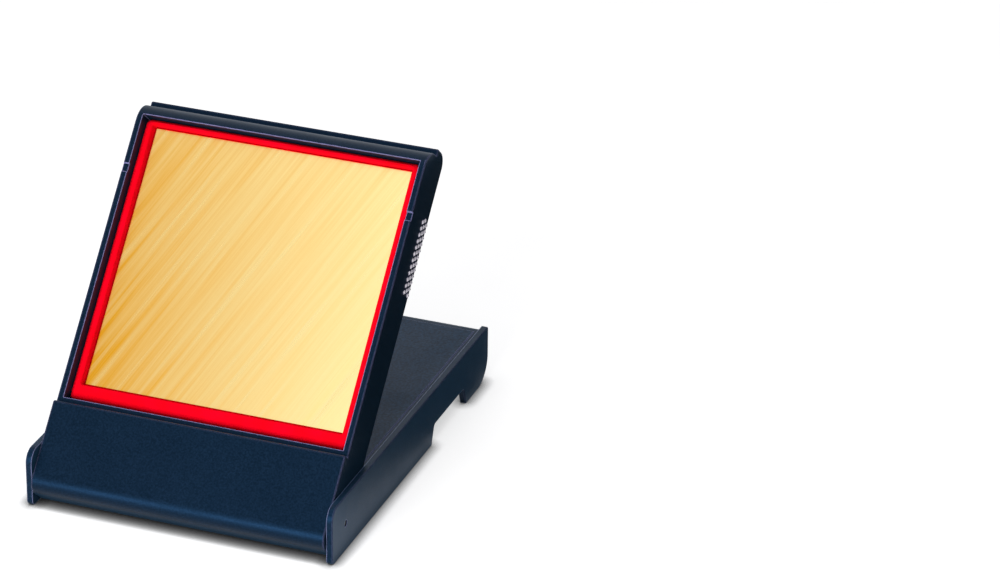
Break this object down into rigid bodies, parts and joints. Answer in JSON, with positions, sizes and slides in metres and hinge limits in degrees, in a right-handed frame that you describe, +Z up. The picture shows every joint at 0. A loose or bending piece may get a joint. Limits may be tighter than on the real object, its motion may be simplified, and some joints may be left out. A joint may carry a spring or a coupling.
{
  "type": "presentation case",
  "caption": "Hinged black plastic presentation case standing open as its own easel, the lid as foot, with a red flocked insert holding a blank gold award plate",
  "frame": {"origin": "On the table, at the centre of the standing case's footprint", "axes": "+X to the viewer's right along the hinge axis, +Y from the hinge towards the back, +Z up"},
  "size_m": [0.1174, 0.1542, 0.1144],
  "materials": {
    "black_abs": "injection-moulded ABS with a fine spark-eroded grain",
    "red_flock": "short rayon flock on a vacuum-formed sheet",
    "foam": "closed-cell foam",
    "tape": "double-sided tape",
    "gold_plate": "gold anodised aluminium, brushed on the diagonal",
    "pin_steel": "blackened steel"
  },
  "bodies": {
    "lid": {"lid_shell": "black_abs"},
    "tray": {"tray_frame": "black_abs", "tray_back": "black_abs", "flock_insert": "red_flock", "foam_support": "foam", "tape_lower": "tape", "tape_upper": "tape", "award_plate": "gold_plate", "hinge_pin_left": "pin_steel", "hinge_pin_right": "pin_steel"}
  },
  "joints": [
    {"name": "case_hinge", "type": "hinge", "parent": "lid", "child": "tray", "pos_m": [0, -0.06341, 0.0107], "axis": [1, 0, 0], "range_deg": [0, 312]}
  ]
}
